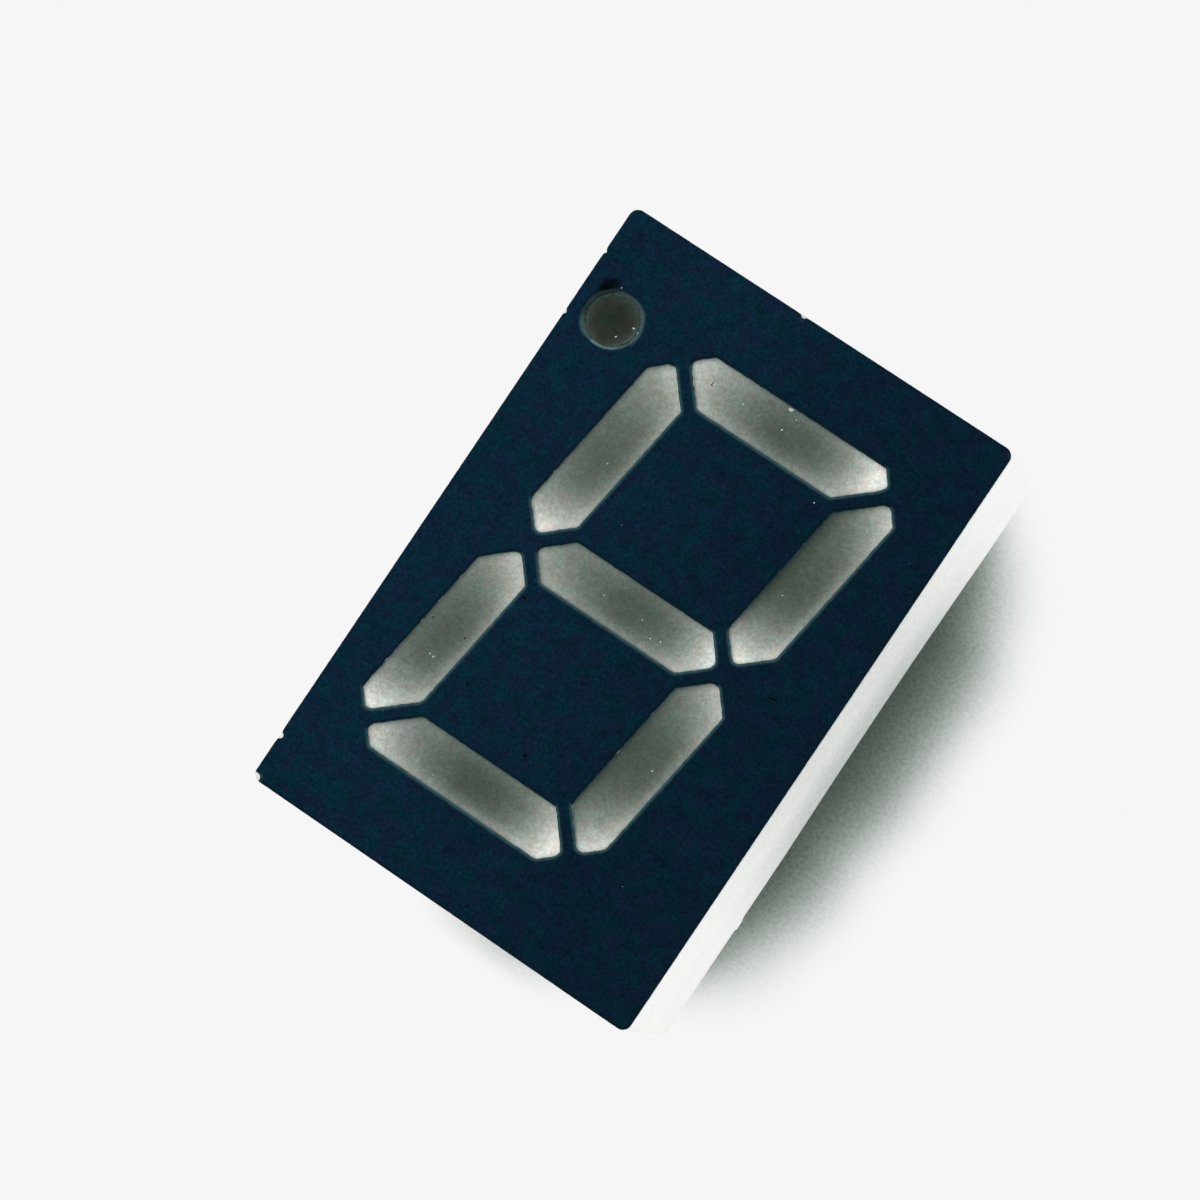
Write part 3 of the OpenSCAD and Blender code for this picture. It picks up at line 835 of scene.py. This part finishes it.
def make_window(node, name, material, climb, dish):
    """Cured resin: its surface climbs the wall round it and dips in the middle."""
    bm = cad_copy(node)
    # painted shadow of the lip, kept on each vertex for the resin's material
    painted_lip_shadow = bm.verts.layers.float.new("painted_lip_shadow")
    reflector = bm.loops.layers.uv.new("reflector")
    height = (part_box(node)[1] / MM).z
    top = level_faces(bm, height)
    sides = window_sides(top)
    bmesh.ops.dissolve_faces(bm, faces=top)

    def surface():
        return level_faces(bm, height)

    for i, axis in enumerate(((1, 0, 0), (0, 1, 0))):
        places = [v.co[i] for v in corners_of(surface())]
        cut_across(bm, surface, axis, min(places), max(places), RESIN_SQUARE)
    vertices = corners_of(surface())
    upright = [(v.co.x - v.co.y * SLANT, v.co.y) for v in vertices]
    centre = [(min(c) + max(c)) / 2 for c in zip(*upright)]
    half = [(max(c) - min(c)) / 2 for c in zip(*upright)]
    for v in vertices:
        margin = max(0, distance_to_outline(v.co, sides))
        fall = math.exp(-margin / RESIN_FALL)
        ripple = noise.noise(v.co / RIPPLE_SIZE) * RESIN_RIPPLE
        deep = min(1, margin / min(half))
        v.co.z += climb * fall - dish * deep ** 1.5 + ripple * (1 - fall)
        v[painted_lip_shadow] = painted_lip_shadow_at(v.co, sides)
    level = half[0] > half[1]
    for face in bm.faces:
        for loop in face.loops:
            p = loop.vert.co
            shares = [(p.x - p.y * SLANT - centre[0]) / half[0], (p.y - centre[1]) / half[1]]
            along, across = shares if level else (shares[1], -shares[0])
            loop[reflector].uv = (along / 2 + 0.5, across / 2 + 0.5)
    bmesh.ops.triangulate(bm, faces=[f for f in bm.faces if len(f.verts) > 4])
    write_piece(bm, name, material, [node])


# How bright each segment is at its first end, how late it brightens there and how it leans to one side, the
# same for its last end, and then its middle and edges. Level segments run left to right, and upright ones
# from bottom to top.
LIGHT_LABELS = ("first_end", "first_power", "first_tilt", "last_end", "last_power", "last_tilt", "middle",
                "low_edge", "high_edge")
SEGMENT_LIGHT = {
    "a": (1.13, 2.6, 0.00, 0.74, 1.55, 0.16, 0.315, 0.14, 0.30),
    "b": (0.80, 2.05, 0.20, 1.07, 2.5, 0.07, 0.345, 0.08, 0.29),
    "c": (0.81, 2.2, 0.17, 1.01, 2.5, 0.09, 0.360, 0.09, 0.25),
    "d": (1.22, 2.8, -0.05, 0.80, 1.5, 0.06, 0.337, 0.14, 0.27),
    "e": (0.63, 1.8, 0.32, 1.02, 2.4, 0.13, 0.330, -0.12, 0.29),
    "f": (0.73, 2.0, 0.26, 0.78, 1.8, 0.28, 0.325, -0.05, 0.27),
    "g": (1.04, 2.7, 0.00, 0.63, 1.35, 0.10, 0.330, 0.14, 0.27),
}


def make_segments():
    """The seven windows, each lit by its own funnel."""
    for name, light in SEGMENT_LIGHT.items():
        levels = dict(zip(LIGHT_LABELS, light))
        material = finish("segment_resin_" + name, segment_resin(levels), Specular_IOR_Level=0.12)
        make_window("segment_" + name, "window_" + name, material, RESIN_CLIMB, RESIN_DISH)


def lathe(profile, centre, steps):
    """Turns a profile of (radius, height) points about an upright axis, and closes it."""
    bm = bmesh.new()
    chain = [bm.verts.new((centre.x + r, centre.y, z)) for r, z in profile]
    edges = [bm.edges.new(pair) for pair in zip(chain, chain[1:])]
    bmesh.ops.spin(bm, geom=chain + edges, cent=centre, axis=(0, 0, 1), angle=2 * math.pi, steps=steps,
                   use_merge=True)
    bmesh.ops.remove_doubles(bm, verts=bm.verts, dist=MERGE)
    bmesh.ops.recalc_face_normals(bm, faces=bm.faces[:])
    return bm


# Section of the ink over the point's bevel: [edge that it is measured from, outward step, upward step]
INK_OVER_BEVEL = (("outer", 0.03, -0.01), ("outer", 0.02, 0.018), ("outer", -0.005, 0.014),
                  ("outer", -0.03, -0.012), ("inner", 0.05, 0.06), ("inner", 0.015, 0.03),
                  ("inner", 0.004, 0.01), ("inner", 0.01, -0.01), ("outer", 0.03, -0.01))


def make_point():
    """The decimal point's resin, and the ink that has run over the bevel round it."""
    low, high = (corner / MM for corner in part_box("decimal_point"))
    face = (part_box("face_ink")[0] / MM).z
    resin = finish("point_window", point_window, Specular_IOR_Level=0.12)
    make_window("decimal_point", "window_point", resin, POINT_CLIMB, POINT_DISH)
    inner = (high.x - low.x) / 2
    edges = {"inner": (inner, high.z), "outer": (inner + (face - high.z), face)}
    profile = [(edges[edge][0] + outward, edges[edge][1] + up) for edge, outward, up in INK_OVER_BEVEL]
    bm = lathe(profile, (low + high) / 2, RING_FACETS)
    for v in bm.verts:
        v.co += wander(v.co, RING_WAVE, RING_UNEVEN)
    write_piece(bm, "point_bevel", finish("stained_bevel", stained_bevel, Specular_IOR_Level=0.1))


def make_potting():
    """The epoxy at the back: it climbs each shank, and its skin is slightly wavy."""
    bm = cad_copy("back_potting")
    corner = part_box("back_potting")[1] / MM
    pins = [(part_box(f"pin_{n}")[0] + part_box(f"pin_{n}")[1]) / 2 / MM for n in range(1, 11)]
    level = round(max(v.co.z for v in bm.verts if v.co.z < SKIN_BELOW), 3)

    def skin():
        return level_faces(bm, level)

    for _ in range(SKIN_RINGS):
        bmesh.ops.inset_region(bm, faces=skin(), thickness=SKIN_RING, depth=0, use_even_offset=True)
    cut_across(bm, skin, (1, 0, 0), -corner.x, corner.x, SKIN_SQUARE)
    cut_across(bm, skin, (0, 1, 0), -corner.y, corner.y, SKIN_SQUARE)
    for v in corners_of(skin()):
        gap = max(0, min(math.hypot(v.co.x - p.x, v.co.y - p.y) for p in pins) - HALF_SHANK)
        edge = min(corner.x - abs(v.co.x), corner.y - abs(v.co.y)) - SKIN_CALM
        wave = noise.noise(v.co / SKIN_WAVE_SIZE) * SKIN_WAVE * min(1, max(0, edge) / SKIN_RISE)
        v.co.z += wave - SKIN_CLIMB * math.exp(-gap / SKIN_FALL)
    material = finish("cast_epoxy", cast_epoxy, Specular_IOR_Level=0.45)
    write_piece(bm, "back_epoxy", material, ["back_potting"])


def make_pins():
    """Ten tinned pins with rounded tips and a slightly uneven coat."""
    tin = finish("tinned_wire", tinned_wire, Metallic=1.0)
    for n in range(1, 11):
        low, high = (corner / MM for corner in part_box(f"pin_{n}"))
        centre = (low + high) / 2
        radius = (high.x - low.x) / 2
        tip = low.z + TIP_LENGTH
        profile = [(r, low.z + up) for r, up in PIN_TIP]
        profile += [(radius, tip + PIN_RING * i) for i in range(int(-tip / PIN_RING))]
        profile += [(radius - inward, z) for inward, z in PIN_SHOULDER]
        profile += [(HALF_SHANK, SHANK_START), (HALF_SHANK, high.z), (0, high.z)]
        bm = lathe(profile, centre, PIN_FACETS)
        for v in bm.verts:
            away = Vector((v.co.x - centre.x, v.co.y - centre.y, 0))
            if v.co.z < 0 and away.length > PIN_SMOOTH:
                wave = noise.noise(Vector(c / size for c, size in zip(v.co, TIN_WAVE)))
                v.co -= away.normalized() * abs(wave) * PIN_UNEVEN
        lead = write_piece(bm, f"lead_{n}", tin, [f"pin_{n}"])
        lead.visible_shadow = False


# Grains that lie on the face: [x, y, length, width, turn in degrees]
DARK_GRAINS = [
    [0.26, 4.78, 0.07, 0.05, 20], [2.70, 4.04, 0.06, 0.045, 70], [2.74, 1.21, 0.06, 0.04, 0],
    [-0.74, 9.10, 0.06, 0.04, 40], [-4.56, -0.28, 0.16, 0.03, 12], [3.51, 3.04, 0.03, 0.022, 0],
    [4.57, 3.04, 0.028, 0.018, 0], [1.73, -6.57, 0.085, 0.01, 82], [1.71, -6.52, 0.022, 0.015, 60],
    [-3.2, -8.1, 0.03, 0.03, 0],
]
PALE_GRAINS = [
    [-3.99, 6.24, 0.011, 0.008, 10], [-2.48, -5.36, 0.021, 0.015, 50], [1.60, -1.95, 0.011, 0.009, 0],
    [-0.50, -7.16, 0.07, 0.055, 20], [-0.6, -6.55, 0.032, 0.019, 70], [-0.78, -6.99, 0.02, 0.016, 0],
    [0.16, -6.52, 0.018, 0.015, 0], [0.70, -6.56, 0.026, 0.022, 0], [3.95, 3.94, 0.038, 0.022, 30],
    [4.08, 3.92, 0.023, 0.018, 0], [-2.88, 3.18, 0.027, 0.022, 0], [-1.08, 0.12, 0.027, 0.022, 0],
    [-0.79, 0.21, 0.023, 0.018, 0], [-0.32, -0.10, 0.023, 0.019, 0], [0.95, -0.08, 0.02, 0.016, 0],
    [-3.16, -2.78, 0.023, 0.02, 0], [2.92, -3.14, 0.026, 0.022, 0], [5.32, -7.39, 0.02, 0.014, 30],
    [4.43, -6.65, 0.035, 0.03, 0], [4.72, -6.19, 0.04, 0.02, 60], [4.25, -6.60, 0.026, 0.02, 0],
]
GRAIN_FLAT = 0.35  # thickness, as a share of the width
GRAIN_THICK = 0.012  # the most that a grain is thick
GRAIN_UNEVEN = 0.35  # how far its shape wanders, as a share of its size
GRAIN_LUMPS = 1.3  # how closely its lumps lie
GRAIN_RAISED = 0.3  # how far its middle lies over the face, as a share of its thickness
RAY_START = 20  # height above the whole object


def skin_height(x, y):
    """Height of the object's surface at a place on the face."""
    origin = Vector((x, y, RAY_START)) * MM
    graph = bpy.context.evaluated_depsgraph_get()
    hit, where, *_ = bpy.context.scene.ray_cast(graph, origin, Vector((0, 0, -1)))
    return where.z / MM if hit else 0


def make_grains(name, places, material):
    """Flat, uneven grains on the face. They are sunk so that none stands above it."""
    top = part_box("face_ink")[1].z / MM
    bm = bmesh.new()
    for x, y, length, width, turn in places:
        thickness_and_painted_shade = min(GRAIN_FLAT * width, GRAIN_THICK)
        made = bmesh.ops.create_icosphere(bm, subdivisions=2, radius=1)["verts"]
        for v in made:
            v.co *= 1 + GRAIN_UNEVEN * noise.noise(v.co * GRAIN_LUMPS + Vector((x, y, 0)))
        bmesh.ops.scale(bm, vec=(length, width, thickness_and_painted_shade), verts=made)
        bmesh.ops.rotate(bm, cent=(0, 0, 0), matrix=Matrix.Rotation(math.radians(turn), 3, "Z"), verts=made)
        z = min(skin_height(x, y) + GRAIN_RAISED * thickness_and_painted_shade, top - max(v.co.z for v in made))
        bmesh.ops.translate(bm, vec=(x, y, z), verts=made)
    write_piece(bm, name, material)


METAL = {"Metallic": 1.0}
# The finish of each hidden node, or of all that start with a word: name, surface and constants
CAD_FINISHES = {
    "circuit_board": ("board_laminate", laminate, {"Specular_IOR_Level": 0.4}),
    "copper_tracks": ("track_copper", worked_metal((222, 150, 108), (168, 104, 70), 0.6, 0.2, 0.42), METAL),
    "chip": ("diode_crystal", diode_crystal, {"Specular_IOR_Level": 0.7}),
    "wire": ("bond_gold", worked_metal((240, 200, 110), (214, 170, 88), 0.2, 0.12, 0.28), METAL),
    "solder": ("joint_solder", worked_metal((196, 198, 200), (150, 152, 154), 0.3, 0.16, 0.4), METAL),
}


def finish_hidden_nodes():
    """The parts inside keep their CAD shapes and get their own finishes."""
    made = {}
    for key, (name, surface, constants) in CAD_FINISHES.items():
        made[key] = finish(name, surface, **constants)
    for node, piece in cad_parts.items():
        key = node if node in made else node.split("_")[0]
        if key in made:
            piece.data.materials[0] = made[key]


# ---- Floor, light and camera ----


WHITE = (246, 246, 246)  # the paper and the room, as they are seen
# How the floor's shade follows the share of open sky: [share, red, green, blue], as display values
FLOOR_SHADES = ((0.64, 60, 71, 63), (0.70, 71, 82, 74), (0.73, 87, 98, 90), (0.75, 111, 122, 114),
                (0.77, 138, 147, 140), (0.79, 180, 187, 182), (0.81, 216, 220, 217), (0.83, 236, 237, 236),
                (0.855, 246, 246, 246))
SHADE_REACH = 9  # things further than this don't shade the floor
SHADE_LEAN = (0.7, 0.35, 1)  # the middle of the sky that lights the floor
SHADE_ZONE = 5.5  # width of the shaded zone round the body
SHADE_END = (-11.0, -9.6)  # where that zone fades out, beyond the lower wall
SMEAR_ACROSS = (0.6, 4.6, 0.8)  # a darker smear on the shade: its middle, its reach and its core
SMEAR_FROM = (3.0, 6.0)  # where it comes in, from under the body
SMEAR_TO = (11.8, 10.6)  # where it ends
SMEAR = 0.047  # how much of the sky it takes
PALER_MIDDLE = (4, 4.0, 1.2, 0.0155)  # a paler stretch: its middle, its reach, its core and the sky it gains
PALER_END = (-4.5, -6.0, 0, 0.008)  # a paler lower end: where it starts and is full, and its gain at each


def floor_sky(tree, parts):
    """The share of open sky over the floor, a little uneven round the object."""
    sky = add(tree, "AmbientOcclusion", {"Distance": SHADE_REACH * MM}, samples=128)
    lean = add(tree, "CombineXYZ", dict(enumerate(Vector(SHADE_LEAN).normalized()))).outputs[0]
    tree.links.new(lean, sky.inputs["Normal"])
    inward = product(tree, smooth(tree, parts["Y"], *SMEAR_FROM), smooth(tree, parts["Y"], *SMEAR_TO))
    smear = product(tree, around(tree, parts["X"], *SMEAR_ACROSS), inward, SMEAR)
    middle = around(tree, parts["Y"], *PALER_MIDDLE)
    paler = calc(tree, "ADD", middle, smooth(tree, parts["Y"], *PALER_END))
    return calc(tree, "ADD", calc(tree, "SUBTRACT", sky.outputs["AO"], smear), paler)


def floor_surface(tree):
    """Pale paper. What is seen of it keeps the object's soft shadow, which leans away from the light. From
    below it can be seen through."""
    at = place(tree)
    parts = split(tree, at)
    beside = calc(tree, "SUBTRACT", calc(tree, "ABSOLUTE", parts["X"]), cad_high.x / MM)
    beyond = calc(tree, "SUBTRACT", calc(tree, "ABSOLUTE", parts["Y"]), cad_high.y / MM)
    near = calc(tree, "LESS_THAN", calc(tree, "MAXIMUM", beside, beyond), SHADE_ZONE)
    near = product(tree, near, smooth(tree, parts["Y"], *SHADE_END))
    sky_share = floor_sky(tree, parts)
    shade = ramp(tree, sky_share, *[(share, paint(*colour)) for share, *colour in FLOOR_SHADES])
    grain = calc(tree, "SUBTRACT", use(tree, MOTTLE, at, size=0.12, depth=0.32)["Shade"], 1.0)
    shade = shaded(tree, shade, calc(tree, "MULTIPLY_ADD", grain, smooth(tree, sky_share, 0.86, 0.72), 1.0))
    open_floor = add(tree, "Emission", {"Color": paint(*WHITE)}).outputs[0]
    shaded_floor = add(tree, "Emission", {"Color": shade}).outputs[0]
    seen = add(tree, "MixShader", {0: near, 1: open_floor, 2: shaded_floor}).outputs[0]
    paper = add(tree, "BsdfDiffuse", {"Color": paint(*WHITE)}).outputs[0]
    top = add(tree, "MixShader", {0: seen_ray(tree), 1: paper, 2: seen}).outputs[0]
    under = add(tree, "NewGeometry").outputs["Backfacing"]
    return add(tree, "MixShader", {0: under, 1: top, 2: add(tree, "BsdfTransparent").outputs[0]}).outputs[0]


def seen_ray(tree):
    """1 for a ray from the camera, a reflection or a view through glass, and 0 for light that only fills."""
    rays = add(tree, "LightPath").outputs
    mirrored = calc(tree, "MAXIMUM", rays["Is Glossy Ray"], rays["Is Transmission Ray"])
    return calc(tree, "MAXIMUM", rays["Is Camera Ray"], mirrored)


FLOOR_HALF = 4  # half the floor's side, in metres
FLOOR_SHIFT = 1.5  # keeps the seam between its two triangles clear of the object


def make_floor():
    """A plain pale floor under the pin tips."""
    bm = bmesh.new()
    bmesh.ops.create_grid(bm, x_segments=1, y_segments=1, size=FLOOR_HALF)
    bmesh.ops.translate(bm, vec=(FLOOR_SHIFT, 0, cad_low.z), verts=bm.verts)
    material = bpy.data.materials.new("pale_floor")
    material.use_nodes = True
    tree = material.node_tree
    tree.links.new(floor_surface(tree), tree.nodes["Material Output"].inputs["Surface"])
    floor = placed_object("floor", finished_mesh(bm, "floor", material))


LAMP_DISTANCE = 1.2  # in metres, like the next
LAMP_SIZE = 0.7
# Soft lamps: the direction that each stands in, and its watts
LAMPS = {
    "soft_lamp": ((0.9, -0.45, 0.95), 4.5),
    "wall_lamp": ((-0.97, 0.1, 0.22), 3.6),
}
ROOM_LIGHT = 0.76  # brightness of the room, as it lights the object


def make_light():
    """A pale room, a soft lamp on the right and a weaker one that fills the left wall."""
    world = bpy.data.worlds.new("room")
    world.use_nodes = True
    tree = world.node_tree
    room = mixed(tree, seen_ray(tree), (ROOM_LIGHT,) * 3 + (1,), paint(*WHITE))
    tree.links.new(room, tree.nodes["Background"].inputs["Color"])
    bpy.context.scene.world = world
    for name, (direction, power) in LAMPS.items():
        lamp = bpy.data.lights.new(name, "AREA")
        lamp.shape = "DISK"
        lamp.size = LAMP_SIZE
        lamp.energy = power
        holder = placed_object(name, lamp)
        away = Vector(direction).normalized()
        holder.location = away * LAMP_DISTANCE
        holder.rotation_mode = "QUATERNION"
        holder.rotation_quaternion = away.to_track_quat("Z", "Y")


CAMERA_AT = Vector((-21.708, 1.392, 136.461))
CAMERA_LOOK = Vector((0.17366, -0.00994, -0.98476))
CAMERA_UP = Vector((0.54766, -0.83009, 0.10496))
CAMERA_LENS = 142.74  # focal length, for a sensor 36 wide
CAMERA_START = 5  # nothing nearer than this is seen


def make_camera():
    """The camera, high over the face and a little to the left wall's side."""
    data = bpy.data.cameras.new("camera")
    data.sensor_width = 36
    data.lens = CAMERA_LENS
    data.clip_start = CAMERA_START * MM
    camera = placed_object("camera", data)
    right = CAMERA_LOOK.cross(CAMERA_UP).normalized()
    turn = Matrix((right, right.cross(CAMERA_LOOK).normalized(), -CAMERA_LOOK)).transposed()
    camera.matrix_world = Matrix.Translation(CAMERA_AT * MM) @ turn.to_4x4()
    bpy.context.scene.camera = camera


make_camera()
make_light()
make_floor()
make_body()
make_face_ink()
make_segments()
make_point()
make_potting()
make_pins()
finish_hidden_nodes()
soot = finish("soot", grit((2, 9, 12), (0, 4, 6)), Specular_IOR_Level=0.0)
make_grains("dark_grains", DARK_GRAINS, soot)
dust = finish("dust", grit((200, 208, 198), (160, 170, 160)), Specular_IOR_Level=0.2)
make_grains("pale_grains", PALE_GRAINS, dust)

bpy.context.scene.view_settings.view_transform = "Standard"
bpy.context.view_layer.update()
